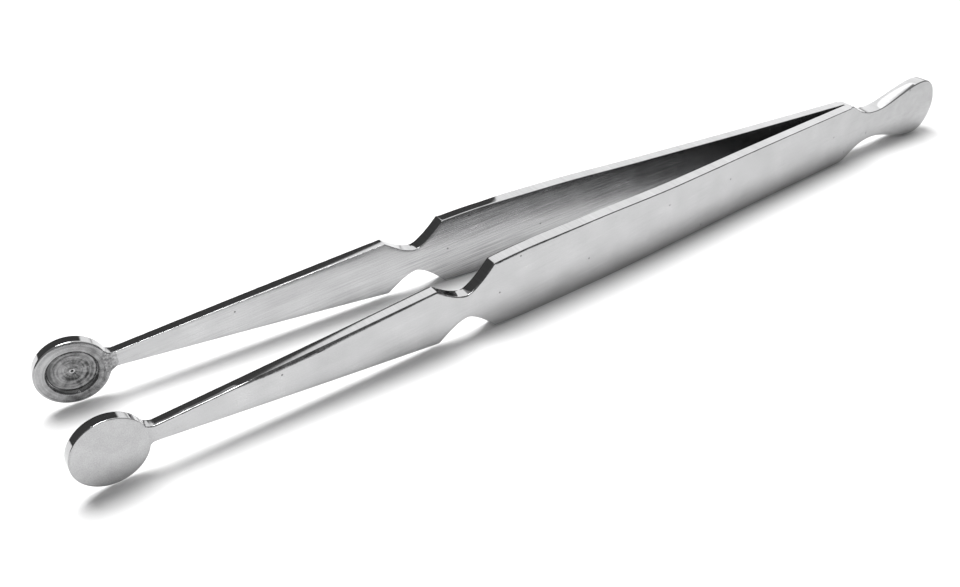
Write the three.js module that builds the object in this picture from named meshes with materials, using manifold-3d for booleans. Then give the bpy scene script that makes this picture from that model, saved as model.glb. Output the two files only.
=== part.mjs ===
// Print tongs for the darkroom, lying on one edge: two polished steel blades that are
// fused into a flared tail tab, bow apart, and end in round cups that face each other.
// Squeezing the notched middle bends the blades at the tail until the cup rims meet.
//
// Millimetres, +Z up. +X runs from the cups to the tail, +Y from the left arm to the
// right arm. The origin is under the middle of the object, on the surface it lies on.

import * as THREE from 'three';
import { mergeVertices } from 'three/addons/utils/BufferGeometryUtils.js';
import Module from 'manifold-3d';

const wasm = await Module();
wasm.setup();

// ---- Driving dimensions ----------------------------------------------------------
// A "station" is a distance along the tongs, measured from the cup centres.

const cupRadius = 4.72;
const cupThickness = 1.8;
const recessRadius = 3.3;
const recessDepth = 0.6;

const neckStation = 5.6;
const neckHalfWidth = 1.15;
const lipStation = 44.9;
const lipHalfWidth = 4.35;
const notchStation = 49.7;
const notchHalfWidth = 1.85;
const shoulderStation = 54.4;
const shoulderHalfWidth = 5.3;
const crestStart = 63;
const crestEnd = 74;
const crestHalfWidth = 5.7;
const gripEnd = 92;
const gripHalfWidth = 5.42;

const flexStation = 116;
const tabStation = 136.9;
const tabShoulderStation = 137.8;
const waistStation = 145.3;
const waistHalfWidth = 2.75;
const tailWideStation = 158;
const tailHalfWidth = 5.45;
const tailEndStation = 162.6;
const tailHalfThickness = 1.5;

// Half the gap between the blades' inner faces, at evenly spaced stations.
const halfGapStations = [0, 28, 56, 84, 112, 138.6];
const halfGaps = [7.85, 7.1, 6.0, 4.45, 2.05, 0];

// Blade thickness: thin at the neck, thickest behind the notch, thinner at the tail.
const thicknessStations = [neckStation, lipStation, shoulderStation, tabStation];
const thicknesses = [1.43, 1.85, 2.0, 1.75];

const touchingGap = 0.3;
const closedRimGap = 0.06;

// ---- Values worked out from the dimensions ---------------------------------------

const overallLength = tailEndStation + cupRadius;
const originStation = tailEndStation - overallLength / 2;
const edgeHeight = crestHalfWidth;
const cutterMargin = 3;
const bandStep = 5;

function halfGapAt(station) {
  const curve = new THREE.CubicInterpolant(halfGapStations, halfGaps, 1);
  return curve.evaluate(station)[0];
}

function thicknessAt(station) {
  const line = new THREE.LinearInterpolant(thicknessStations, thicknesses, 1);
  return line.evaluate(station)[0];
}

// The turn about the flex line that brings a cup's rim to the middle plane. The cups
// are set on their blades at this angle, so that the rims meet flat when closed.
const tipHalfGap = halfGapAt(0);
const flexOffset = halfGapAt(flexStation) + thicknessAt(flexStation) / 2;
const rimReach = Math.hypot(flexStation, tipHalfGap - flexOffset);
const rimBearing = Math.atan2(tipHalfGap - flexOffset, flexStation);
const closingAngle = rimBearing + Math.asin((flexOffset - closedRimGap) / rimReach);

// ---- Solids ----------------------------------------------------------------------

function toSolid(geometry) {
  const bare = geometry.clone();
  bare.deleteAttribute('normal');
  bare.deleteAttribute('uv');
  const merged = mergeVertices(bare, 1e-4);
  return new wasm.Manifold(new wasm.Mesh({
    numProp: 3,
    vertProperties: Float32Array.from(merged.attributes.position.array),
    triVerts: Uint32Array.from(merged.index.array),
  }));
}

function toGeometry(solid) {
  const mesh = solid.getMesh();
  const geometry = new THREE.BufferGeometry();
  geometry.setAttribute('position', new THREE.BufferAttribute(mesh.vertProperties, 3));
  geometry.setIndex(new THREE.BufferAttribute(mesh.triVerts, 1));
  geometry.computeVertexNormals();
  return geometry;
}

// The blade as seen from above: a bowed band between its inner and outer faces,
// extruded through the full width of the tongs. side is +1 for right, -1 for left.
function planBand(side, from, to) {
  const steps = Math.max(2, Math.ceil((to - from) / bandStep));
  const inner = [];
  const outer = [];
  for (let i = 0; i <= steps; i += 1) {
    const station = from + (to - from) * i / steps;
    const gap = halfGapAt(station);
    inner.push(new THREE.Vector2(station, side * gap));
    outer.push(new THREE.Vector2(station, side * (gap + thicknessAt(station))));
  }
  return extrudeUp(new THREE.Shape([...inner, ...outer.reverse()]));
}

function extrudeUp(shape) {
  const depth = 2 * (edgeHeight + cutterMargin);
  const geometry = new THREE.ExtrudeGeometry(shape, { depth, bevelEnabled: false });
  geometry.translate(0, 0, -depth / 2);
  return toSolid(geometry);
}

// An outline seen from the side, given by its upper edge and mirrored below, extruded
// across both arms. Shape y becomes height.
function sideOutline(upperEdge, divisions) {
  const upper = upperEdge.getPoints(divisions);
  const lower = upper.map((point) => new THREE.Vector2(point.x, -point.y)).reverse();
  const depth = 2 * (tipHalfGap + cupThickness + cutterMargin);
  const shape = new THREE.Shape([...upper, ...lower]);
  const geometry = new THREE.ExtrudeGeometry(shape, { depth, bevelEnabled: false });
  geometry.translate(0, 0, -depth / 2);
  geometry.rotateX(Math.PI / 2);
  return toSolid(geometry);
}

// ---- Outlines --------------------------------------------------------------------

// Front taper, filed notch, raised crest where the fingers press, and even grip.
function armEdge(from, to) {
  const edge = new THREE.Path();
  const front = notchStation - lipStation;
  const drop = lipHalfWidth - notchHalfWidth;
  const rear = shoulderStation - notchStation;
  const rise = shoulderHalfWidth - notchHalfWidth;
  const crestRadius = arcRadius(crestStart - shoulderStation, crestHalfWidth - shoulderHalfWidth);
  const crestAngle = Math.PI / 2 + Math.asin((crestStart - shoulderStation) / crestRadius);
  const ease = (gripEnd - crestEnd) / 3;
  edge.moveTo(from, neckHalfWidth);
  edge.lineTo(lipStation, lipHalfWidth);
  edge.bezierCurveTo(lipStation + front * 0.27, lipHalfWidth - drop * 0.36,
    notchStation - front * 0.38, notchHalfWidth + drop * 0.06, notchStation, notchHalfWidth);
  edge.bezierCurveTo(notchStation + rear * 0.2, notchHalfWidth,
    shoulderStation - rear * 0.38, shoulderHalfWidth - rise * 0.57,
    shoulderStation, shoulderHalfWidth);
  edge.absarc(crestStart, crestHalfWidth - crestRadius, crestRadius,
    crestAngle, Math.PI / 2, true);
  edge.lineTo(crestEnd, crestHalfWidth);
  edge.bezierCurveTo(crestEnd + ease, crestHalfWidth, gripEnd - ease, gripHalfWidth,
    gripEnd, gripHalfWidth);
  edge.lineTo(to, gripHalfWidth);
  return edge;
}

// The radius of a circle that rises by "rise" over "run" from its lowest point.
function arcRadius(run, rise) {
  return (run * run + rise * rise) / (2 * rise);
}

function heelEdge(from, to) {
  const edge = new THREE.Path();
  edge.moveTo(from, gripHalfWidth);
  edge.lineTo(to, gripHalfWidth);
  return edge;
}

// Shoulder, waist, flare and rounded end.
function tabEdge() {
  const edge = new THREE.Path();
  const fall = waistStation - tabShoulderStation;
  const flare = tailWideStation - waistStation;
  const round = tailEndStation - tailWideStation;
  edge.moveTo(tabStation, gripHalfWidth);
  edge.lineTo(tabShoulderStation, gripHalfWidth);
  edge.bezierCurveTo(tabShoulderStation + fall * 0.3, gripHalfWidth * 0.72,
    waistStation - fall * 0.5, waistHalfWidth, waistStation, waistHalfWidth);
  edge.bezierCurveTo(waistStation + flare * 0.28, waistHalfWidth,
    tailWideStation - flare * 0.32, tailHalfWidth, tailWideStation, tailHalfWidth);
  edge.bezierCurveTo(tailWideStation + round * 0.7, tailHalfWidth,
    tailEndStation, tailHalfWidth * 0.6, tailEndStation, 0);
  return edge;
}

// The weld bead's end nearest the cup is hollowed to follow the cup's rim.
function neckWeldEdge() {
  const clearRadius = cupRadius + touchingGap;
  const beadHalfWidth = 2.0;
  const rimAngle = Math.asin(beadHalfWidth / clearRadius);
  const edge = new THREE.Path();
  edge.absarc(0, 0, clearRadius, 0, rimAngle, false);
  edge.quadraticCurveTo(clearRadius, neckHalfWidth * 1.15, neckStation, neckHalfWidth);
  return edge;
}

// ---- Pieces ----------------------------------------------------------------------

const curveDivisions = 8;

function bladeGeometry(side) {
  const from = neckStation + touchingGap;
  const to = flexStation - touchingGap / 2;
  const outline = sideOutline(armEdge(from, to), curveDivisions);
  return toGeometry(planBand(side, from, to).intersect(outline));
}

function heelGeometry(side) {
  const from = flexStation + touchingGap / 2;
  const to = tabStation - touchingGap;
  const outline = sideOutline(heelEdge(from, to), 1);
  const strip = planBand(side, from, to).intersect(outline);
  return toGeometry(strip.intersect(sideOfMiddle(side)));
}

// Everything on one side of the middle plane, clear of it by half a touching gap.
function sideOfMiddle(side) {
  const reach = tipHalfGap + cupThickness + cutterMargin;
  const box = new THREE.BoxGeometry(overallLength * 2, reach, reach * 2);
  box.translate(tailEndStation / 2, side * (reach + touchingGap) / 2, 0);
  return toSolid(box);
}

function tailTabGeometry() {
  const rootHalf = halfGapAt(tabStation) + thicknessAt(tabStation);
  const plan = new THREE.Shape([
    new THREE.Vector2(tabStation, -rootHalf),
    new THREE.Vector2(waistStation, -tailHalfThickness),
    new THREE.Vector2(tailEndStation + cutterMargin, -tailHalfThickness),
    new THREE.Vector2(tailEndStation + cutterMargin, tailHalfThickness),
    new THREE.Vector2(waistStation, tailHalfThickness),
    new THREE.Vector2(tabStation, rootHalf),
  ]);
  const outline = sideOutline(tabEdge(), curveDivisions);
  return toGeometry(extrudeUp(plan).intersect(outline));
}

function neckWeldGeometry(side) {
  const outline = sideOutline(neckWeldEdge(), curveDivisions);
  const band = planBand(side, cupRadius - cutterMargin, neckStation);
  return toGeometry(band.intersect(outline));
}

// A turned disc with a dished recess in the rim face, which lies at y = 0; the plain
// back lies at y = cupThickness.
function cupGeometry() {
  const edge = 0.3;
  const wall = recessDepth * 0.4;
  const profile = [
    [0, recessDepth],
    [recessRadius * 0.5, recessDepth * 0.92],
    [recessRadius * 0.85, recessDepth * 0.68],
    [recessRadius * 0.97, wall],
    [recessRadius, 0],
    [cupRadius - edge, 0],
    [cupRadius, edge],
    [cupRadius, cupThickness - edge],
    [cupRadius - edge, cupThickness],
    [0, cupThickness],
  ].map(([radius, height]) => new THREE.Vector2(radius, height));
  return toGeometry(toSolid(new THREE.LatheGeometry(profile, 48)));
}

// ---- Assembly --------------------------------------------------------------------

function steel(colour, roughness) {
  return new THREE.MeshStandardMaterial({ color: colour, roughness, metalness: 1 });
}

const tongs = new THREE.Group();

function place(name, geometry, material, parent = tongs) {
  const mesh = new THREE.Mesh(geometry, material);
  mesh.name = name;
  parent.add(mesh);
  return mesh;
}

place('tail_tab', tailTabGeometry(), steel('#c6c7c9', 0.2));

for (const [name, side] of [['left', -1], ['right', 1]]) {
  place(`${name}_heel`, heelGeometry(side), steel('#c2c3c5', 0.22));
  place(`${name}_blade`, bladeGeometry(side), steel('#c2c3c5', 0.22));
  place(`${name}_neck_weld`, neckWeldGeometry(side), steel('#a9aaab', 0.38));

  const seat = new THREE.Group();
  seat.position.y = side * tipHalfGap;
  seat.rotation.z = side > 0 ? -closingAngle : Math.PI + closingAngle;
  tongs.add(seat);
  place(`${name}_tip_cup`, cupGeometry(), steel('#b4b5b6', 0.26), seat);
}

tongs.position.set(-originStation, 0, edgeHeight);
tongs.updateMatrixWorld(true);

const object = new THREE.Group();
object.add(tongs);

export default object;
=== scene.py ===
"""Print tongs lying on a pale studio floor: polished steel blades, turned cups, flared tail.

Every length is worked out in millimetres, as stations along the tongs measured from the
cup centres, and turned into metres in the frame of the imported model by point().
"""
import math

import bmesh
import bpy
from mathutils import Matrix, Vector, noise


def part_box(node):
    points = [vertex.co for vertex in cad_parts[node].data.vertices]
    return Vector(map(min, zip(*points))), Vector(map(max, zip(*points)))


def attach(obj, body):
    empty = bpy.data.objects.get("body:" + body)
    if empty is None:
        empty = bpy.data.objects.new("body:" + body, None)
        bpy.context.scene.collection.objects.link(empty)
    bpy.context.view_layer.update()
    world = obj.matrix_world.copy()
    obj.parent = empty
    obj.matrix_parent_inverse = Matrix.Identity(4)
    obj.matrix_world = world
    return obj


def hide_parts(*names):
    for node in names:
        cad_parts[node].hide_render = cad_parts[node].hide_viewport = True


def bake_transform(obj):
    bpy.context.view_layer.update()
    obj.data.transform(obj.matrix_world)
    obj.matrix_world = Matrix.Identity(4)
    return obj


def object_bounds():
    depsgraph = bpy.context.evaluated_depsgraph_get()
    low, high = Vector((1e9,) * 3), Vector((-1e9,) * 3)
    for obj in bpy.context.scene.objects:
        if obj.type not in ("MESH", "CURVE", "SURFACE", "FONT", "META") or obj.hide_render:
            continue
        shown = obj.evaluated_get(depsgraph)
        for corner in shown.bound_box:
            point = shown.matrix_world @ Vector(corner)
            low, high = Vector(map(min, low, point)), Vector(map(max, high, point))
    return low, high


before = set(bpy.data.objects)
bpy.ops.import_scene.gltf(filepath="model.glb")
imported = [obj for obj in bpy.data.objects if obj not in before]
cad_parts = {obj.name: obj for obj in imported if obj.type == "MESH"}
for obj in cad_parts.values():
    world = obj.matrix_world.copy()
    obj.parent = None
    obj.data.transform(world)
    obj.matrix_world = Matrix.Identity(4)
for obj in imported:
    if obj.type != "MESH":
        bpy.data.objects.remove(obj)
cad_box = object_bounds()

MM = 0.001
TINY = 1e-6

# ---- The tongs' dimensions, in millimetres --------------------------------------------

CUP_RADIUS = 4.72
CUP_THICKNESS = 1.8
RECESS_RADIUS = 3.3
RECESS_DEPTH = 0.6
CLOSED_RIM_GAP = 0.06

NECK, NECK_HALF_WIDTH = 5.6, 1.15
LIP, LIP_HALF_WIDTH = 44.9, 4.35
NOTCH, NOTCH_HALF_WIDTH = 49.7, 1.85
SHOULDER, SHOULDER_HALF_WIDTH = 54.4, 5.3
CREST_START, CREST_END, CREST_HALF_WIDTH = 63.0, 74.0, 5.7
GRIP_END, GRIP_HALF_WIDTH = 92.0, 5.42

FLEX = 116.0
TAB = 136.9
TAB_SHOULDER = 137.8
WAIST, WAIST_HALF_WIDTH = 145.3, 2.75
TAIL_WIDE, TAIL_HALF_WIDTH = 158.0, 5.45
TAIL_END, TAIL_HALF_THICKNESS = 162.6, 1.5

# Where the handles of the outline's curves stand, as shares of each curve's run and rise.
FRONT_WALL_TOP, FRONT_WALL_FOOT = (0.27, 0.36), (0.38, 0.06)
REAR_WALL_FOOT, REAR_WALL_TOP = 0.2, (0.38, 0.57)
SHOULDER_HANDLE, SHOULDER_HANDLE_HEIGHT = 0.3, GRIP_HALF_WIDTH * 0.72
WAIST_HANDLE = 0.5
FLARE_START, FLARE_END = 0.28, 0.32
END_HANDLE, END_HANDLE_HEIGHT = 0.7, TAIL_HALF_WIDTH * 0.6

# Half the gap between the blades' inner faces and a blade's thickness, along the tongs.
HALF_GAPS = [(0, 7.85), (28, 7.1), (56, 6.0), (84, 4.45), (112, 2.05), (138.6, 0)]
THICKNESSES = [(NECK, 1.43), (LIP, 1.85), (SHOULDER, 2.0), (TAB, 1.75)]

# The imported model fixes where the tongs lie: the tail's end and the height of the edges.
STATION_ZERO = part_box("tail_tab")[1].x / MM - TAIL_END
CENTRE_HEIGHT = (cad_box[0].z + cad_box[1].z) / 2 / MM


def point(station, across, height):
    """A place on the tongs, in metres. height is measured from the blades' centre line."""
    return Vector((station + STATION_ZERO, across, height + CENTRE_HEIGHT)) * MM


# ---- Curves ---------------------------------------------------------------------------


def linear(table, x):
    """The value at x of a polyline through the table's points, held level past its ends."""
    if x <= table[0][0]:
        return table[0][1]
    for (x0, y0), (x1, y1) in zip(table, table[1:]):
        if x <= x1:
            return y0 + (y1 - y0) * (x - x0) / (x1 - x0)
    return table[-1][1]


def slope_at(table, i):
    """The slope of a smooth curve at its i-th point; the curve is straight at its ends."""
    last = len(table) - 1
    if 0 < i < last:
        return (table[i + 1][1] - table[i - 1][1]) / (table[i + 1][0] - table[i - 1][0])
    near, far = (table[0], table[1]) if i == 0 else (table[last], table[last - 1])
    chord = (far[1] - near[1]) / (far[0] - near[0])
    inner = slope_at(table, 1 if i == 0 else last - 1)
    return (3 * chord - inner) / 2


def smooth(table, x):
    """The value at x of a smooth curve through the table's points."""
    i = 0
    while i < len(table) - 2 and x > table[i + 1][0]:
        i += 1
    (x0, y0), (x1, y1) = table[i], table[i + 1]
    h = x1 - x0
    t = (x - x0) / h
    m0, m1 = slope_at(table, i) * h, slope_at(table, i + 1) * h
    return (
        (2 * t**3 - 3 * t**2 + 1) * y0
        + (t**3 - 2 * t**2 + t) * m0
        + (3 * t**2 - 2 * t**3) * y1
        + (t**3 - t**2) * m1
    )


def bezier(p0, p1, p2, p3, steps):
    """Points of a cubic curve, without its first one."""
    points = []
    for k in range(1, steps + 1):
        t = k / steps
        s = 1 - t
        weights = (s**3, 3 * s * s * t, 3 * s * t * t, t**3)
        corners = (p0, p1, p2, p3)
        points.append(tuple(sum(w * p[i] for w, p in zip(weights, corners)) for i in (0, 1)))
    return points


def arc(centre, radius, start, end, steps):
    """Points of a circle between two angles, without the first one."""
    points = []
    for k in range(1, steps + 1):
        a = start + (end - start) * k / steps
        points.append((centre[0] + radius * math.cos(a), centre[1] + radius * math.sin(a)))
    return points


def arc_radius(run, rise):
    """The radius of a circle that rises by rise over run from its lowest point."""
    return (run * run + rise * rise) / (2 * rise)


def half_gap(station):
    """Half the gap between the blades' inner faces."""
    return smooth(HALF_GAPS, station)


def thickness(station):
    return linear(THICKNESSES, station)


def tail_half_thickness(station):
    """Half the tail's thickness: it leaves the blades' outer faces smoothly."""
    start = half_gap(TAB) + thickness(TAB)
    before = half_gap(TAB - 1) + thickness(TAB - 1)
    if station >= WAIST:
        return TAIL_HALF_THICKNESS
    length = WAIST - TAB
    t = (station - TAB) / length
    m0 = (start - before) * length
    return (
        (2 * t**3 - 3 * t**2 + 1) * start
        + (t**3 - 2 * t**2 + t) * m0
        + (3 * t**2 - 2 * t**3) * TAIL_HALF_THICKNESS
    )


# ---- The outline of the upper edge ----------------------------------------------------


NOTCH_STEPS = 30
CREST_STEPS = 12
TAIL_STEPS = 24


def edge_outline():
    """The whole upper edge from the neck to the tail's end, as (station, height) points."""
    front, drop = NOTCH - LIP, LIP_HALF_WIDTH - NOTCH_HALF_WIDTH
    rear, rise = SHOULDER - NOTCH, SHOULDER_HALF_WIDTH - NOTCH_HALF_WIDTH
    crest = arc_radius(CREST_START - SHOULDER, CREST_HALF_WIDTH - SHOULDER_HALF_WIDTH)
    up = math.pi / 2
    crest_angle = up + math.asin((CREST_START - SHOULDER) / crest)
    ease = (GRIP_END - CREST_END) / 3
    fall = WAIST - TAB_SHOULDER
    flare = TAIL_WIDE - WAIST
    end = TAIL_END - TAIL_WIDE

    outline = [(NECK, NECK_HALF_WIDTH), (LIP, LIP_HALF_WIDTH)]
    outline += bezier(
        outline[-1],
        (LIP + front * FRONT_WALL_TOP[0], LIP_HALF_WIDTH - drop * FRONT_WALL_TOP[1]),
        (NOTCH - front * FRONT_WALL_FOOT[0], NOTCH_HALF_WIDTH + drop * FRONT_WALL_FOOT[1]),
        (NOTCH, NOTCH_HALF_WIDTH),
        NOTCH_STEPS,
    )
    outline += bezier(
        outline[-1],
        (NOTCH + rear * REAR_WALL_FOOT, NOTCH_HALF_WIDTH),
        (SHOULDER - rear * REAR_WALL_TOP[0], SHOULDER_HALF_WIDTH - rise * REAR_WALL_TOP[1]),
        (SHOULDER, SHOULDER_HALF_WIDTH),
        NOTCH_STEPS,
    )
    outline += arc((CREST_START, CREST_HALF_WIDTH - crest), crest, crest_angle, up, CREST_STEPS)
    outline.append((CREST_END, CREST_HALF_WIDTH))
    outline += bezier(
        outline[-1],
        (CREST_END + ease, CREST_HALF_WIDTH),
        (GRIP_END - ease, GRIP_HALF_WIDTH),
        (GRIP_END, GRIP_HALF_WIDTH),
        CREST_STEPS,
    )
    outline.append((TAB_SHOULDER, GRIP_HALF_WIDTH))
    outline += bezier(
        outline[-1],
        (TAB_SHOULDER + fall * SHOULDER_HANDLE, SHOULDER_HANDLE_HEIGHT),
        (WAIST - fall * WAIST_HANDLE, WAIST_HALF_WIDTH),
        (WAIST, WAIST_HALF_WIDTH),
        TAIL_STEPS,
    )
    outline += bezier(
        outline[-1],
        (WAIST + flare * FLARE_START, WAIST_HALF_WIDTH),
        (TAIL_WIDE - flare * FLARE_END, TAIL_HALF_WIDTH),
        (TAIL_WIDE, TAIL_HALF_WIDTH),
        TAIL_STEPS,
    )
    outline += bezier(
        outline[-1],
        (TAIL_WIDE + end * END_HANDLE, TAIL_HALF_WIDTH),
        (TAIL_END, END_HANDLE_HEIGHT),
        (TAIL_END, 0.0),
        TAIL_STEPS,
    )
    return outline


def resampled(points, spacing):
    """The same polyline with points evenly spaced along it."""
    lengths = [0.0]
    for a, b in zip(points, points[1:]):
        lengths.append(lengths[-1] + math.dist(a, b))
    count = round(lengths[-1] / spacing)
    result = []
    i = 0
    for k in range(count + 1):
        at = lengths[-1] * k / count
        while i < len(points) - 2 and lengths[i + 1] < at:
            i += 1
        span = lengths[i + 1] - lengths[i]
        t = (at - lengths[i]) / span
        a, b = points[i], points[i + 1]
        result.append((a[0] + (b[0] - a[0]) * t, a[1] + (b[1] - a[1]) * t))
    return result


def softened(points, passes):
    """The polyline with its corners worn round, as polishing leaves them."""
    for _ in range(passes):
        middle = [
            tuple((a[i] + 2 * b[i] + c[i]) / 4 for i in (0, 1))
            for a, b, c in zip(points, points[1:], points[2:])
        ]
        points = [points[0], *middle, points[-1]]
    return points


def with_normals(points):
    """Each point with its outward normal: (station, height, normal x, normal z)."""
    result = []
    for i, p in enumerate(points):
        a = points[max(i - 1, 0)]
        b = points[min(i + 1, len(points) - 1)]
        d = Vector((b[0] - a[0], b[1] - a[1])).normalized()
        result.append((p[0], p[1], -d.y, d.x))
    tip = result[-1]
    if abs(tip[1]) < TINY:
        result[-1] = (tip[0], 0.0, 1.0, 0.0)
    return result


def thinned(points, turn, spacing):
    """Keeps a point where the edge has turned or run far enough since the last kept one."""
    kept = [points[0]]
    for p in points[1:-1]:
        last = kept[-1]
        cosine = max(-1.0, min(1.0, p[2] * last[2] + p[3] * last[3]))
        if math.acos(cosine) > turn or math.dist(p[:2], last[:2]) > spacing:
            kept.append(p)
    kept.append(points[-1])
    return kept


EDGE_SPACING = 0.1
WEAR_PASSES = 2
RING_TURN = math.radians(2.5)
RING_SPACING = 0.6
EDGE = with_normals(softened(resampled(edge_outline(), EDGE_SPACING), WEAR_PASSES))


def edge_between(start, end):
    """The worn edge between two stations, with a point exactly at each of them."""
    inside = [p for p in EDGE if start < p[0] < end]
    first = min(EDGE, key=lambda p: abs(p[0] - start))
    last = min(EDGE, key=lambda p: abs(p[0] - end))
    points = [(start, *first[1:]), *inside, (end, *last[1:])]
    return thinned(points, RING_TURN, RING_SPACING)


# ---- Mesh building --------------------------------------------------------------------


def rounded_corner(radius, steps):
    """(distance in from the face, depth below the edge) round one corner, edge first."""
    turns = [math.pi / 2 * k / steps for k in range(steps + 1)]
    return [(radius - radius * math.sin(a), radius - radius * math.cos(a)) for a in turns]


CORNER_STEPS = 4
CROWN_SHARES = (0.14, 0.5, 0.86)
FACE_ROWS = 10
EDGE_DOME = 0.012
SCRATCH_SLANT = 0.09
STRIP_CREASE, CUP_CREASE = 35, 50
SAME_PLACE, NO_LENGTH = 1e-7, 1e-8


def strip_marks(near_arris, far_arris, edge, near_side, far_side):
    """The marks round one ring of section(): arrises, edge and the two faces.

    far_arris is only for the upper edge; the lower edge has near_arris on both sides.
    """
    crown = [edge] * (len(CROWN_SHARES) + 1)
    return [
        *[near_arris] * CORNER_STEPS,
        *crown,
        *[far_arris] * CORNER_STEPS,
        *[far_side] * FACE_ROWS,
        *[near_arris] * CORNER_STEPS,
        *crown,
        *[near_arris] * CORNER_STEPS,
        *[near_side] * FACE_ROWS,
    ]


def section(
    station, height, normal, near_face, far_face, radii, lean=0.0, bulges=(0.0, 0.0), dome=EDGE_DOME
):
    """One closed ring of a strip, as points in metres.

    near_face and far_face give the places of the strip's two faces at a station. radii are
    the roundings of the near, far and lower corners, and bulges say how far each face falls
    back from its middle to its edges. The edge itself is domed by dome, and lean is how much
    lower its far side is. Going round: upper edge, far face, lower edge, near face.
    """
    near_radius, far_radius, lower_radius = radii
    near_bulge, far_bulge = bulges

    def place(x, inset, depth, from_far, lower):
        inward = math.copysign(inset, far_face(x) - near_face(x))
        across = far_face(x) - inward if from_far else near_face(x) + inward
        z = height - normal[1] * depth
        return point(x, across, -z if lower else z)

    def corner(radius, from_far, lower):
        bulge = far_bulge if from_far else near_bulge
        sunk = dome + (lean if from_far else 0.0)
        return [
            place(station - normal[0] * (d + sunk), i + bulge, d + sunk, from_far, lower)
            for i, d in rounded_corner(radius, CORNER_STEPS)
        ]

    def crown(lower):
        middle = []
        for share in CROWN_SHARES:
            across = near_face(station) * (1 - share) + far_face(station) * share
            z = height - lean * share - dome * (2 * share - 1) ** 2
            middle.append(point(station, across, -z if lower else z))
        return middle

    def face(from_far, downward):
        bulge = far_bulge if from_far else near_bulge
        x = station - normal[0] * lower_radius
        reach = height - normal[1] * lower_radius
        column = []
        for k in range(1, FACE_ROWS):
            share = 1 - 2 * k / FACE_ROWS
            inward = math.copysign(bulge * share**2, far_face(x) - near_face(x))
            across = far_face(x) - inward if from_far else near_face(x) + inward
            column.append(point(x, across, reach * share if downward else -reach * share))
        return column

    ring = list(reversed(corner(near_radius, False, False)))
    ring += crown(False)
    ring += corner(far_radius, True, False)
    ring += face(True, True)
    ring += list(reversed(corner(lower_radius, True, True)))
    ring += list(reversed(crown(True)))
    ring += corner(lower_radius, False, True)
    ring += face(False, False)
    return ring


def mesh_object(name, rings, marks, closed_ends, material):
    """A closed mesh through rings of equal length, with UVs in centimetres.

    The UVs run along the tongs and up, slanted so that scratches climb to the tail.
    marks(row) gives, for each place round a ring, how polished, dark (partly painted shade) and
    brushed the surface is from there to the next place; the material reads them as
    "finish_and_painted_shade".
    """
    mesh = bmesh.new()
    uv_layer = mesh.loops.layers.uv.new("UVMap")
    finish_and_painted_shade = mesh.loops.layers.float_color.new("finish_and_painted_shade")
    rows = [[mesh.verts.new(p) for p in ring] for ring in rings]
    count = len(rings[0])
    for i in range(len(rows) - 1):
        for j in range(count):
            k = (j + 1) % count
            face = mesh.faces.new((rows[i][j], rows[i][k], rows[i + 1][k], rows[i + 1][j]))
            face.smooth = True
            for loop, row in zip(face.loops, (i, i, i + 1, i + 1)):
                x, _, z = loop.vert.co / (10 * MM)
                loop[uv_layer].uv = (x, z - SCRATCH_SLANT * x)
                loop[finish_and_painted_shade] = (*marks(row)[j], 1)
    if closed_ends[0]:
        mesh.faces.new(list(reversed(rows[0])))
    if closed_ends[1]:
        mesh.faces.new(rows[-1])
    return finished(name, mesh, material)


def finished(name, mesh, material, crease=STRIP_CREASE):
    """Turns a bmesh into an object with one material and sharp edges at real creases."""
    bmesh.ops.remove_doubles(mesh, verts=mesh.verts, dist=SAME_PLACE)
    bmesh.ops.dissolve_degenerate(mesh, edges=mesh.edges, dist=NO_LENGTH)
    bmesh.ops.recalc_face_normals(mesh, faces=mesh.faces)
    for edge in mesh.edges:
        if len(edge.link_faces) == 2:
            edge.smooth = edge.calc_face_angle(0.0) < math.radians(crease)
    data = bpy.data.meshes.new(name)
    mesh.to_mesh(data)
    mesh.free()
    data.materials.append(material)
    made = bpy.data.objects.new(name, data)
    bpy.context.scene.collection.objects.link(made)
    return made


# ---- Materials ------------------------------------------------------------------------


# How often each texture repeats in a centimetre.
CLOUD_SCALE, SPECK_SCALE, BLOTCH_SCALE, NICK_SCALE = 2.2, 60.0, 8.0, 0.85

ROUGHNESS_SPREAD = (0.8, 1.2)
CLOUDINESS = (0.86, 1.14)
POLISHED_ROUGHNESS = 0.22
SCRATCH_DEPTH = 0.5
STAIN_AND_SHADE_BRIGHTNESS = 0.12
NICK_BRIGHTNESS = 0.35
NICK_RADIUS = (0.008, 0.016)
MOTTLE_RELIEF = 0.35
RELIEF_HEIGHT = 0.02 * MM


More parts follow.
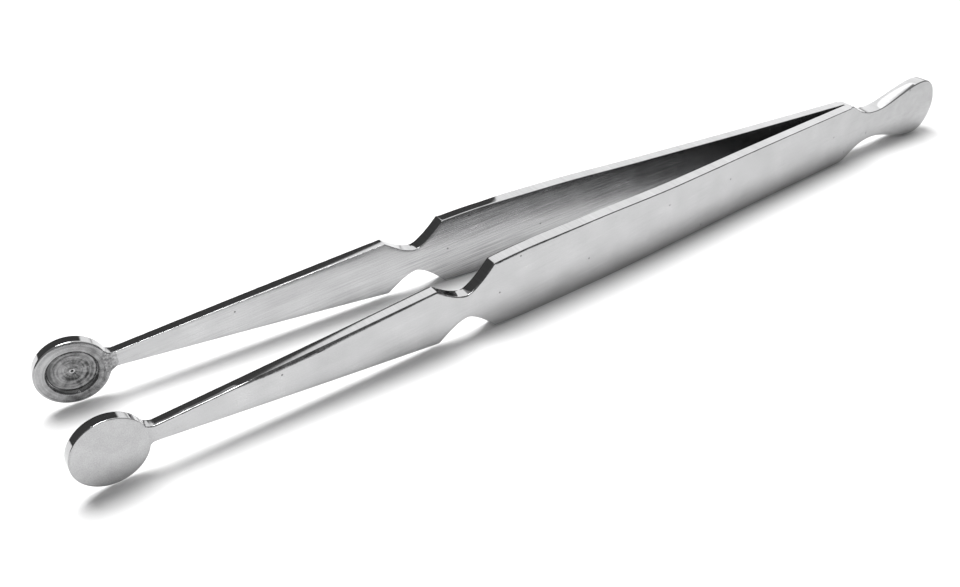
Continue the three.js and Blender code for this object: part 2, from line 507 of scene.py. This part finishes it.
def steel(name, colour, roughness, grain_scale, grain_strength):
    """Bare steel with fine lines along the UV's first axis and soft cloudy wear.

    The "finish_and_painted_shade" attribute polishes it by its red part, darkens it by its green
    part with stains and painted shade, and brings out the lines by its blue part.
    """
    material = bpy.data.materials.new(name)
    material.use_nodes = True
    tree = material.node_tree
    shader = tree.nodes["Principled BSDF"]
    shader.inputs["Metallic"].default_value = 1.0

    def noise_at(vector, scale, detail):
        made = tree.nodes.new("ShaderNodeTexNoise")
        made.inputs["Scale"].default_value = scale
        made.inputs["Detail"].default_value = detail
        tree.links.new(vector, made.inputs["Vector"])
        return made.outputs["Fac"]

    def ranged(value, low, high, to_low, to_high):
        made = tree.nodes.new("ShaderNodeMapRange")
        for key, number in (("From Min", low), ("From Max", high)):
            made.inputs[key].default_value = number
        for key, number in (("To Min", to_low), ("To Max", to_high)):
            made.inputs[key].default_value = number
        tree.links.new(value, made.inputs["Value"])
        return made.outputs["Result"]

    def combined(operation, first, second):
        made = tree.nodes.new("ShaderNodeMath")
        made.operation = operation
        tree.links.new(first, made.inputs[0])
        tree.links.new(second, made.inputs[1])
        return made.outputs["Value"]

    place = tree.nodes.new("ShaderNodeTexCoord").outputs["UV"]
    stretch = tree.nodes.new("ShaderNodeMapping")
    stretch.inputs["Scale"].default_value = grain_scale
    tree.links.new(place, stretch.inputs["Vector"])
    grain = noise_at(stretch.outputs["Vector"], 1.0, 6.0)
    clouds = noise_at(place, CLOUD_SCALE, 4.0)
    specks = noise_at(place, SPECK_SCALE, 3.0)

    marks = tree.nodes.new("ShaderNodeAttribute")
    marks.attribute_name = "finish_and_painted_shade"
    parts = tree.nodes.new("ShaderNodeSeparateColor")
    tree.links.new(marks.outputs["Color"], parts.inputs["Color"])
    polished = parts.outputs["Red"]
    darkened = parts.outputs["Green"]
    brushed = parts.outputs["Blue"]

    # Brushed faces show the grain, the others a fine even mottle.
    texture = combined(
        "ADD",
        combined("MULTIPLY", grain, brushed),
        combined("MULTIPLY", specks, ranged(brushed, 0.0, 1.0, 1.0, 0.0)),
    )
    wear = combined("ADD", texture, clouds)
    rough = combined(
        "MULTIPLY",
        ranged(wear, 0.6, 1.4, *(roughness * share for share in ROUGHNESS_SPREAD)),
        ranged(polished, 0.0, 1.0, 1.0, POLISHED_ROUGHNESS),
    )
    tree.links.new(rough, shader.inputs["Roughness"])

    # Scratches and ring marks darken the metal where it is brushed; stains and painted shade darken
    # it where it is dark.
    lines = combined("MULTIPLY", ranged(grain, 0.3, 0.62, SCRATCH_DEPTH, 0.0), brushed)
    blotches = combined("ADD", texture, noise_at(place, BLOTCH_SCALE, 5.0))
    stains_and_shade = combined("MULTIPLY", ranged(blotches, 0.8, 1.15, 1.0, 0.5), darkened)
    marked = combined(
        "MULTIPLY",
        ranged(lines, 0.0, 1.0, 1.0, 0.0),
        ranged(stains_and_shade, 0.0, 1.0, 1.0, STAIN_AND_SHADE_BRIGHTNESS),
    )
    nicks = tree.nodes.new("ShaderNodeTexVoronoi")
    nicks.voronoi_dimensions = "2D"
    nicks.inputs["Scale"].default_value = NICK_SCALE
    tree.links.new(place, nicks.inputs["Vector"])
    nicked = ranged(nicks.outputs["Distance"], *NICK_RADIUS, NICK_BRIGHTNESS, 1.0)
    marked = combined("MULTIPLY", marked, nicked)
    cloudy = ranged(combined("ADD", clouds, specks), 0.6, 1.4, *CLOUDINESS)
    tint = tree.nodes.new("ShaderNodeVectorMath")
    tint.operation = "SCALE"
    tint.inputs[0].default_value = colour
    tree.links.new(combined("MULTIPLY", cloudy, marked), tint.inputs["Scale"])
    tree.links.new(tint.outputs["Vector"], shader.inputs["Base Color"])

    bump = tree.nodes.new("ShaderNodeBump")
    bump.inputs["Distance"].default_value = RELIEF_HEIGHT
    relief = combined(
        "MULTIPLY",
        ranged(polished, 0.0, 1.0, 1.0, 0.0),
        ranged(brushed, 0.0, 1.0, grain_strength * MOTTLE_RELIEF, grain_strength),
    )
    tree.links.new(relief, bump.inputs["Strength"])
    tree.links.new(combined("ADD", texture, specks), bump.inputs["Height"])
    tree.links.new(bump.outputs["Normal"], shader.inputs["Normal"])
    return material


BRIGHT, DULLER = (0.49, 0.49, 0.495), (0.47, 0.47, 0.475)
BLADE_STEEL = steel(
    "blade_steel", BRIGHT, roughness=0.24, grain_scale=(0.9, 62, 1), grain_strength=0.25
)
CUP_STEEL = steel(
    "cup_steel", DULLER, roughness=0.22, grain_scale=(1.2, 26, 1), grain_strength=0.4
)
WELD_STEEL = steel(
    "weld_steel", DULLER, roughness=0.26, grain_scale=(26, 26, 1), grain_strength=0.6
)


# ---- Pieces ---------------------------------------------------------------------------

OUTER_EDGE_RADIUS = 0.14
INNER_EDGE_RADIUS = 0.055
# The left blade's upper inner corner is worn less than the others.
KEEN_SHARE = 0.35
# Wear varies along the corners: by how much, how quickly, and how unlike the two blades are.
OUTER_WEAR_SPREAD, INNER_WEAR_SPREAD = 0.4, 0.9
WEAR_PER_MM = 0.9
BLADES_APART = 7

# The radius to which the outer faces are rounded, and how much of that stands proud.
FACE_CURVES = [(CREST_END, 84.0), (TAB, 62.0)]
FACE_SWELL = 0.65

# How much lower the right edge's far side is, and how much rounder the left edge's is.
ASLANT = [(SHOULDER, 0.0), (SHOULDER + 0.5, 0.16), (CREST_START - 1, 0.2), (CREST_START + 3, 0.0)]
GROUND_ROUND = [
    (15.0, 0.0),
    (24.0, 0.55),
    (33.0, 0.3),
    (LIP, 0.08),
    (NOTCH, 0.0),
    (SHOULDER, 0.0),
    (SHOULDER + 0.5, 0.2),
    (CREST_START, 0.16),
    (CREST_END, 0.0),
]
TAIL_DOME = [(TAB, EDGE_DOME), (WAIST, 0.1)]

# How brushed the inner faces are, and how dark the outer ones.
BRUSHING = [(NECK, 0.35), (LIP, 0.4), (SHOULDER, 0.85), (GRIP_END, 0.8), (FLEX, 0.4)]
TARNISH = [(GRIP_END, 0.0), (TAB, 0.1), (TAIL_WIDE, 0.22)]


def face_bulge(station, height):
    """How far a slightly round face falls back from its middle to its edge."""
    return height * height / (2 * linear(FACE_CURVES, station))


# (polished, darkened, brushed) from 0 to 1
POLISHED = (1.0, 0.0, 0.0)
INNER_ARRIS = (0.5, 0.2, 0.6)
DULL_ARRIS = (0.0, 0.0, 0.3)
# The outer arris is darkened as a painted dark reflection line along the upper outer corner.
PAINTED_DARK_ARRIS = (0.6, 0.85, 0.0)
SATIN_BRUSHING = 0.15


def satin(station):
    """The marks of the outer faces, duller towards the tail."""
    return (0.0, linear(TARNISH, station), SATIN_BRUSHING)


def blade(name, side):
    """One blade from its neck to the tail tab, closing in towards the tail."""
    def inner(x):
        return side * half_gap(x)

    rings = []
    edge = edge_between(NECK, TAB)
    stations = [p[0] for p in edge]
    for x, z, nx, nz in edge:
        bulge = face_bulge(x, z)

        def outer(x, swell=bulge * FACE_SWELL):
            return side * (half_gap(x) + thickness(x) + swell)

        burr = noise.noise(Vector((x * WEAR_PER_MM, side * BLADES_APART, 0)))
        # The left edge is ground round in places; the right one is ground aslant at its crest.
        rounding = OUTER_EDGE_RADIUS * (1 + OUTER_WEAR_SPREAD * burr)
        lean = linear(ASLANT, x) if side > 0 else 0.0
        inner_rounding = INNER_EDGE_RADIUS * (1 + INNER_WEAR_SPREAD * burr)
        if side < 0:
            rounding += linear(GROUND_ROUND, x)
            inner_rounding *= KEEN_SHARE
        radii = (inner_rounding, rounding, INNER_EDGE_RADIUS)
        rings.append(section(x, z, (nx, nz), inner, outer, radii, lean, (0.0, bulge)))

    # The left blade's upper outer corner takes the painted dark reflection line.
    arrises = (DULL_ARRIS, PAINTED_DARK_ARRIS) if side < 0 else (INNER_ARRIS, INNER_ARRIS)

    def marks(row):
        x = stations[row]
        brushed = (0.0, 0.0, linear(BRUSHING, x))
        return strip_marks(*arrises, POLISHED, brushed, satin(x))

    made = mesh_object(f"{name}_blade_strip", rings, marks, (True, True), BLADE_STEEL)
    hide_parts(f"{name}_blade", f"{name}_heel")
    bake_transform(made)


def tail():
    """The flared tab into which both blades' ends are fused."""
    def left(x):
        return -tail_half_thickness(x)

    def right(x):
        return tail_half_thickness(x)

    edge = edge_between(TAB, TAIL_END)
    radii = (OUTER_EDGE_RADIUS, OUTER_EDGE_RADIUS, INNER_EDGE_RADIUS)
    rings = []
    for x, z, nx, nz in edge:
        bulge = face_bulge(x, z)
        dome = linear(TAIL_DOME, x)
        rings.append(section(x, z, (nx, nz), left, right, radii, 0.0, (bulge, bulge), dome))

    def marks(row):
        face = satin(edge[row][0])
        return strip_marks(INNER_ARRIS, INNER_ARRIS, POLISHED, face, face)

    made = mesh_object("tail_tab_body", rings, marks, (True, False), BLADE_STEEL)
    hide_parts("tail_tab")
    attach(made, "tail")


# The angle by which an arm turns until the cups' rims meet; the cups are set back by it.
CLOSING = math.asin((half_gap(0) - CLOSED_RIM_GAP) / FLEX)

CUP_SEGMENTS = 96
RIM_ROUND, RIM_STEPS = 0.26, 6
BACK_ROUND, BACK_STEPS = 0.1, 4
DISC_CURVE_RADIUS = 60.0
BACK_SHARES = (0.95, 0.85, 0.7, 0.55, 0.4, 0.25, 0.1, 0.0)
GROOVE_PITCH, GROOVE_DEPTH, GROOVE_STEPS = 0.42, 0.016, 6
BAND_INSET = 0.06

# How much darker the rim and the recess are on their lower side towards the neck, partly from
# pitting and partly as painted shade, and where that side is.
RIM_STAIN_AND_SHADE = 0.58
RECESS_STAIN_AND_SHADE = 0.15
STAIN_AND_SHADE_TURN = math.radians(50)

# More marks: (polished, darkened, brushed). The disc's arris is darkened as painted shade.
DISC_BACK = (0.0, 0.14, 0.05)
DISC_ARRIS = (0.6, 0.25, 0.0)


def disc_fall(radius):
    """How far the slightly round back of a cup falls back, radius from its middle."""
    return radius * radius / (2 * DISC_CURVE_RADIUS)


def cup_profile():
    """The turned cup from the middle of its recess over the rim to the middle of its back.

    Each point is (radius, depth behind the rim, polished, darkened, brushed).
    """
    # The recess floor and wall are darkened as painted shade in the hollow; shadowed is painted
    # shade too.
    tooled_with_painted_shade = (0.0, 0.88, 1.0)
    worn = (0.1, 0.65, 0.6)
    wall = (0.0, 0.6, 0.3)
    shadowed = (0.0, 0.95, 0.0)
    bright = (0.4, 0.05, 0.2)
    floor = RECESS_DEPTH - 0.04
    profile = [(0.0, floor + 0.2, *shadowed), (0.13, floor + 0.08, *shadowed)]
    profile += [(0.2, floor - 0.03, *bright), (0.3, floor - 0.03, *bright)]
    radius = 0.4
    while radius < RECESS_RADIUS - 0.42:
        share = radius / RECESS_RADIUS
        wave = GROOVE_DEPTH * math.cos(2 * math.pi * radius / GROOVE_PITCH)
        profile.append((radius, floor - 0.1 * share**2 + wave, *tooled_with_painted_shade))
        radius += GROOVE_PITCH / GROOVE_STEPS
    profile += [
        (RECESS_RADIUS - 0.34, floor - 0.06, *tooled_with_painted_shade),
        (RECESS_RADIUS - 0.24, RECESS_DEPTH - 0.02, *shadowed),
        (RECESS_RADIUS - 0.16, RECESS_DEPTH - 0.06, *wall),
        (RECESS_RADIUS - 0.05, 0.12, *wall),
        (RECESS_RADIUS, 0.03, *shadowed),
        (RECESS_RADIUS + 0.06, 0.0, *worn),
        (RECESS_RADIUS + 0.4, 0.0, *worn),
        (CUP_RADIUS - RIM_ROUND - 0.1, 0.0, *worn),
    ]
    # The rim's rounding is darkened as painted shade, most on its lower side.
    for k in range(RIM_STEPS + 1):
        a = math.pi / 2 * k / RIM_STEPS
        profile.append((
            CUP_RADIUS - RIM_ROUND + RIM_ROUND * math.sin(a),
            RIM_ROUND - RIM_ROUND * math.cos(a),
            0.8 * k / RIM_STEPS,
            0.3,
            0.3,
        ))
    profile.append((CUP_RADIUS, RIM_ROUND + BAND_INSET, *POLISHED))
    back = CUP_THICKNESS - disc_fall(CUP_RADIUS)
    profile.append((CUP_RADIUS, back - BACK_ROUND - BAND_INSET, *POLISHED))
    for k in range(BACK_STEPS + 1):
        a = math.pi / 2 * k / BACK_STEPS
        profile.append((
            CUP_RADIUS - BACK_ROUND + BACK_ROUND * math.cos(a),
            back - BACK_ROUND + BACK_ROUND * math.sin(a),
            *DISC_ARRIS,
        ))
    for share in BACK_SHARES:
        radius = CUP_RADIUS * share
        profile.append((radius, CUP_THICKNESS - disc_fall(radius), *DISC_BACK))
    return profile


def cup_face(side, station, depth):
    """The place across the tongs of a cup's plane, depth behind its rim."""
    return side * (half_gap(0) - station * math.tan(CLOSING) + depth)


def cup(name, side):
    """One turned cup, set so that both rims lie flat together when the tongs close."""
    profile = cup_profile()
    mesh = bmesh.new()
    uv_layer = mesh.loops.layers.uv.new("UVMap")
    finish_and_painted_shade = mesh.loops.layers.float_color.new("finish_and_painted_shade")
    turn = Matrix.Rotation(-side * CLOSING, 4, "Z")
    seat = Matrix.Translation(point(0, side * half_gap(0), 0)) @ turn

    def ring(radius, depth):
        if radius == 0:
            return [mesh.verts.new(seat @ Vector((0, side * depth * MM, 0)))]
        angles = [2 * math.pi * k / CUP_SEGMENTS for k in range(CUP_SEGMENTS)]
        return [
            mesh.verts.new(
                seat @ (Vector((radius * math.cos(a), side * depth, radius * math.sin(a))) * MM)
            )
            for a in angles
        ]

    rings = [ring(p[0], p[1]) for p in profile]
    across = [0.0]
    for a, b in zip(profile, profile[1:]):
        across.append(across[-1] + math.dist(a[:2], b[:2]))
    back_start = next(i for i, p in enumerate(profile) if p[2:] == DISC_BACK)
    for i in range(len(rings) - 1):
        for j in range(CUP_SEGMENTS):
            k = (j + 1) % CUP_SEGMENTS
            corners = []
            for row, spot in ((i, j), (i, k), (i + 1, k), (i + 1, j)):
                vert = rings[row][spot % len(rings[row])]
                if vert not in [c[0] for c in corners]:
                    corners.append((vert, row, j + 1 if spot == k else j))
            face = mesh.faces.new([c[0] for c in corners])
            face.smooth = True
            for loop, (_, row, spot) in zip(face.loops, corners):
                turned = 2 * math.pi * spot / CUP_SEGMENTS
                radius, depth, polish, dark, brush = profile[row]
                if i >= back_start:
                    # The back is ground flat, so its marks don't run in rings.
                    place = (radius * math.cos(turned), radius * math.sin(turned))
                else:
                    place = (turned * CUP_RADIUS, across[row])
                loop[uv_layer].uv = (place[0] / 10, place[1] / 10)
                # The lower side towards the neck is darker: partly pitting, partly painted shade.
                uneven = RIM_STAIN_AND_SHADE if depth == 0 else RECESS_STAIN_AND_SHADE
                stain_and_shade = 1.0
                if i < back_start:
                    stain_and_shade += uneven * math.cos(turned + STAIN_AND_SHADE_TURN)
                loop[finish_and_painted_shade] = (polish, min(dark * stain_and_shade, 1.0), brush, 1)
    made = finished(f"{name}_turned_cup", mesh, CUP_STEEL, crease=CUP_CREASE)
    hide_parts(f"{name}_tip_cup")
    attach(made, f"{name}_arm")


# ---- The fillets that join a cup to its blade -----------------------------------------

FILLET_RADIUS, FILLET_STEPS = 1.4, 14
WELD_START = 3.5
WELD_START_SHARE = 0.9
WELD_PROUD = 0.006
WELD_LUMP, LUMPS_PER_MM, LUMP_SEED = 0.05, 1.6, 1
CUP_END_RADIUS, CUP_END_BACK_RADIUS = 0.2, 0.1


def weld_outline():
    """The upper outline from inside the cup's rim, down its fillet, to the blade's neck."""
    taper = (LIP_HALF_WIDTH - NECK_HALF_WIDTH) / (LIP - NECK)
    tilt = math.atan(taper)
    # The fillet touches the cup's circle and the blade's edge line.
    offset = (NECK_HALF_WIDTH - taper * NECK) * math.cos(tilt) + FILLET_RADIUS
    reach = CUP_RADIUS + FILLET_RADIUS
    lean = math.asin(offset / reach) + tilt
    centre = (reach * math.cos(lean), reach * math.sin(lean))
    start = math.pi + lean
    end = 1.5 * math.pi + tilt
    touch = tuple(
        c - FILLET_RADIUS * turn for c, turn in zip(centre, (math.cos(lean), math.sin(lean)))
    )
    inside = (WELD_START, touch[1] * WELD_START_SHARE)
    fillet = arc(centre, FILLET_RADIUS, start, end, FILLET_STEPS)
    return [inside, touch, *fillet, (NECK, NECK_HALF_WIDTH)]


def weld(name, side):
    """The neck weld: it fills the corners between a cup's rim and the end of its blade."""
    outline = with_normals(weld_outline())
    first = outline[1][0]

    def settled(x):
        """How far a place has passed from the cup (0) to the blade (1)."""
        t = min(max((x - CUP_RADIUS) / (NECK - CUP_RADIUS), 0.0), 1.0)
        return t * t * (3 - 2 * t)

    def raised(x):
        """How far the weld stands out of the cup; it starts sunk in it."""
        t = min(max((x - WELD_START) / (first - WELD_START), 0.0), 1.0)
        return WELD_PROUD * (2 * t - 1)

    def inner(x):
        w = settled(x)
        return cup_face(side, x, -raised(x)) * (1 - w) + side * half_gap(x) * w

    def outer(x):
        w = settled(x)
        blade_face = side * (half_gap(x) + thickness(x))
        back = CUP_THICKNESS - disc_fall(x) + raised(x)
        return cup_face(side, x, back) * (1 - w) + blade_face * w

    # noise_vector() is shifted by a random amount, so it is seeded to repeat in every run.
    noise.seed_set(LUMP_SEED)
    rings = []
    for x, z, nx, nz in outline:
        w = settled(x)
        inner_radius = CUP_END_RADIUS + w * (INNER_EDGE_RADIUS - CUP_END_RADIUS)
        outer_radius = CUP_END_BACK_RADIUS + w * (OUTER_EDGE_RADIUS - CUP_END_BACK_RADIUS)
        radii = (inner_radius, outer_radius, inner_radius)
        bulge = disc_fall(z) * (1 - w) + face_bulge(x, z) * w
        ring = section(x, z, (nx, nz), inner, outer, radii, 0.0, (0.0, bulge))
        lump = 4 * w * (1 - w) * WELD_LUMP * MM
        rings.append([p + noise.noise_vector(p / MM * LUMPS_PER_MM) * lump for p in ring])

    def marks(row):
        w = settled(outline[row][0])
        pitted = (0.0, 0.6 * (1 - w) + 0.12 * w, 1.0)
        smooth_side = (0.0, DISC_BACK[1] * (1 - w), 0.0)
        rim = (0.7, 0.15, 0.0)
        # The fillet's upper outer corner takes the painted dark reflection line.
        return strip_marks((0.2, 0.3 * (1 - w), 0.3), PAINTED_DARK_ARRIS, rim, pitted, smooth_side)

    made = mesh_object(f"{name}_neck_fillet", rings, marks, (True, True), WELD_STEEL)
    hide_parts(f"{name}_neck_weld")
    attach(made, f"{name}_arm")


for arm_name, arm_side in (("left", -1), ("right", 1)):
    blade(arm_name, arm_side)
    cup(arm_name, arm_side)
    weld(arm_name, arm_side)
tail()

# ---- Floor, light and camera ----------------------------------------------------------


FLOOR_HALF_SIDE = 3.0
FLOOR_COLOUR = (0.86, 0.86, 0.86, 1)

SOFTBOX_PLACE, SOFTBOX_SIZE, SOFTBOX_WATTS = (-0.06, 0.16, 0.60), (0.34, 0.3), 5.0

# The room that the steel mirrors. Each part fades in as a direction comes nearer to its own:
# (its direction, where the fade starts, where it ends, strength before, strength after).
HIGH_WALL = ((0.371, -0.743, 0.557), -0.150, -0.132, 0.0, 1.0)
LOW_WALL = ((0.848, -0.530, 0.0), -0.02, 0.02, 0.0, 1.0)
WINDOW = ((0.58, 0.64, 0.5), 0.82, 0.92, 0.26, 1.34)
LAMP = ((0.435, 0.435, 0.788), 0.961, 0.974, 0.08, 0.75)
BACKDROP_STRENGTH = 0.96

CAMERA_PLACE = (-0.08506, -0.09890, 0.08236)
CAMERA_YAW_PITCH_ROLL = (32.565, -34.961, -0.922)
SENSOR_WIDTH, LENS = 36.0, 35.25
NEAREST_SEEN = 0.005


def studio_floor():
    """A wide plain pale floor at the height that the tongs rest on."""
    half = FLOOR_HALF_SIDE
    height = cad_box[0].z
    corners = [(-half, -half), (half, -half), (half, half), (-half, half)]
    data = bpy.data.meshes.new("floor")
    data.from_pydata([(x, y, height) for x, y in corners], [], [(0, 1, 2, 3)])
    floor = bpy.data.objects.new("floor", data)
    bpy.context.scene.collection.objects.link(floor)
    material = bpy.data.materials.new("floor_white")
    material.use_nodes = True
    shader = material.node_tree.nodes["Principled BSDF"]
    shader.inputs["Base Color"].default_value = FLOOR_COLOUR
    shader.inputs["Roughness"].default_value = 0.9
    shader.inputs["Specular IOR Level"].default_value = 0.1
    data.materials.append(material)


def softbox(name, place, target, size, watts):
    """A rectangular soft light that shines from place at target."""
    data = bpy.data.lights.new(name, "AREA")
    data.shape = "RECTANGLE"
    data.size, data.size_y = size
    data.energy = watts
    light = bpy.data.objects.new(name, data)
    light.location = place
    light.rotation_euler = (Vector(target) - Vector(place)).to_track_quat("-Z", "Y").to_euler()
    bpy.context.scene.collection.objects.link(light)


def studio_light():
    """One overhead softbox in a pale room: dark to the far left, brightest to the far right.

    The dark side is what the front edges of the blades mirror, and the bright side is what
    the rear edges mirror.
    """
    softbox("overhead_softbox", SOFTBOX_PLACE, (0, 0, 0), SOFTBOX_SIZE, SOFTBOX_WATTS)
    world = bpy.data.worlds.new("studio")
    bpy.context.scene.world = world
    world.use_nodes = True
    tree = world.node_tree
    background = tree.nodes["Background"]
    background.inputs["Color"].default_value = (1, 1, 1, 1)
    direction = tree.nodes.new("ShaderNodeTexCoord")

    def side(toward, start, end, low, high):
        across = tree.nodes.new("ShaderNodeVectorMath")
        across.operation = "DOT_PRODUCT"
        across.inputs[1].default_value = toward
        tree.links.new(direction.outputs["Generated"], across.inputs[0])
        fade = tree.nodes.new("ShaderNodeMapRange")
        fade.interpolation_type = "SMOOTHSTEP"
        fade.inputs["From Min"].default_value = start
        fade.inputs["From Max"].default_value = end
        fade.inputs["To Min"].default_value = low
        fade.inputs["To Max"].default_value = high
        tree.links.new(across.outputs["Value"], fade.inputs["Value"])
        return fade.outputs["Result"]

    def joined(operation, first, second):
        made = tree.nodes.new("ShaderNodeMath")
        made.operation = operation
        tree.links.new(first, made.inputs[0])
        tree.links.new(second, made.inputs[1])
        return made.outputs["Value"]

    walls = joined("MAXIMUM", side(*HIGH_WALL), side(*LOW_WALL))
    lit_walls = joined("MULTIPLY", walls, side(*WINDOW))
    total = joined("ADD", lit_walls, side(*LAMP))
    tree.links.new(total, background.inputs["Strength"])

    # What shows above the floor is a plain pale backdrop; the steel still mirrors the room.
    backdrop = tree.nodes.new("ShaderNodeBackground")
    backdrop.inputs["Color"].default_value = (1, 1, 1, 1)
    backdrop.inputs["Strength"].default_value = BACKDROP_STRENGTH
    seen = tree.nodes.new("ShaderNodeLightPath").outputs["Is Camera Ray"]
    either = tree.nodes.new("ShaderNodeMixShader")
    tree.links.new(seen, either.inputs["Fac"])
    tree.links.new(background.outputs["Background"], either.inputs[1])
    tree.links.new(backdrop.outputs["Background"], either.inputs[2])
    tree.links.new(either.outputs["Shader"], tree.nodes["World Output"].inputs["Surface"])


def camera():
    """The camera at the photograph's viewing angle."""
    yaw, pitch, roll = (math.radians(a) for a in CAMERA_YAW_PITCH_ROLL)
    data = bpy.data.cameras.new("camera")
    data.sensor_width = SENSOR_WIDTH
    data.lens = LENS
    data.clip_start = NEAREST_SEEN
    made = bpy.data.objects.new("camera", data)
    turn = Matrix.Rotation(-yaw, 4, "Z") @ Matrix.Rotation(math.pi / 2 + pitch, 4, "X")
    place = Matrix.Translation(CAMERA_PLACE)
    made.matrix_world = place @ turn @ Matrix.Rotation(roll, 4, "Z")
    bpy.context.scene.collection.objects.link(made)
    bpy.context.scene.camera = made


studio_floor()
studio_light()
camera()
bpy.context.scene.view_settings.view_transform = "Standard"
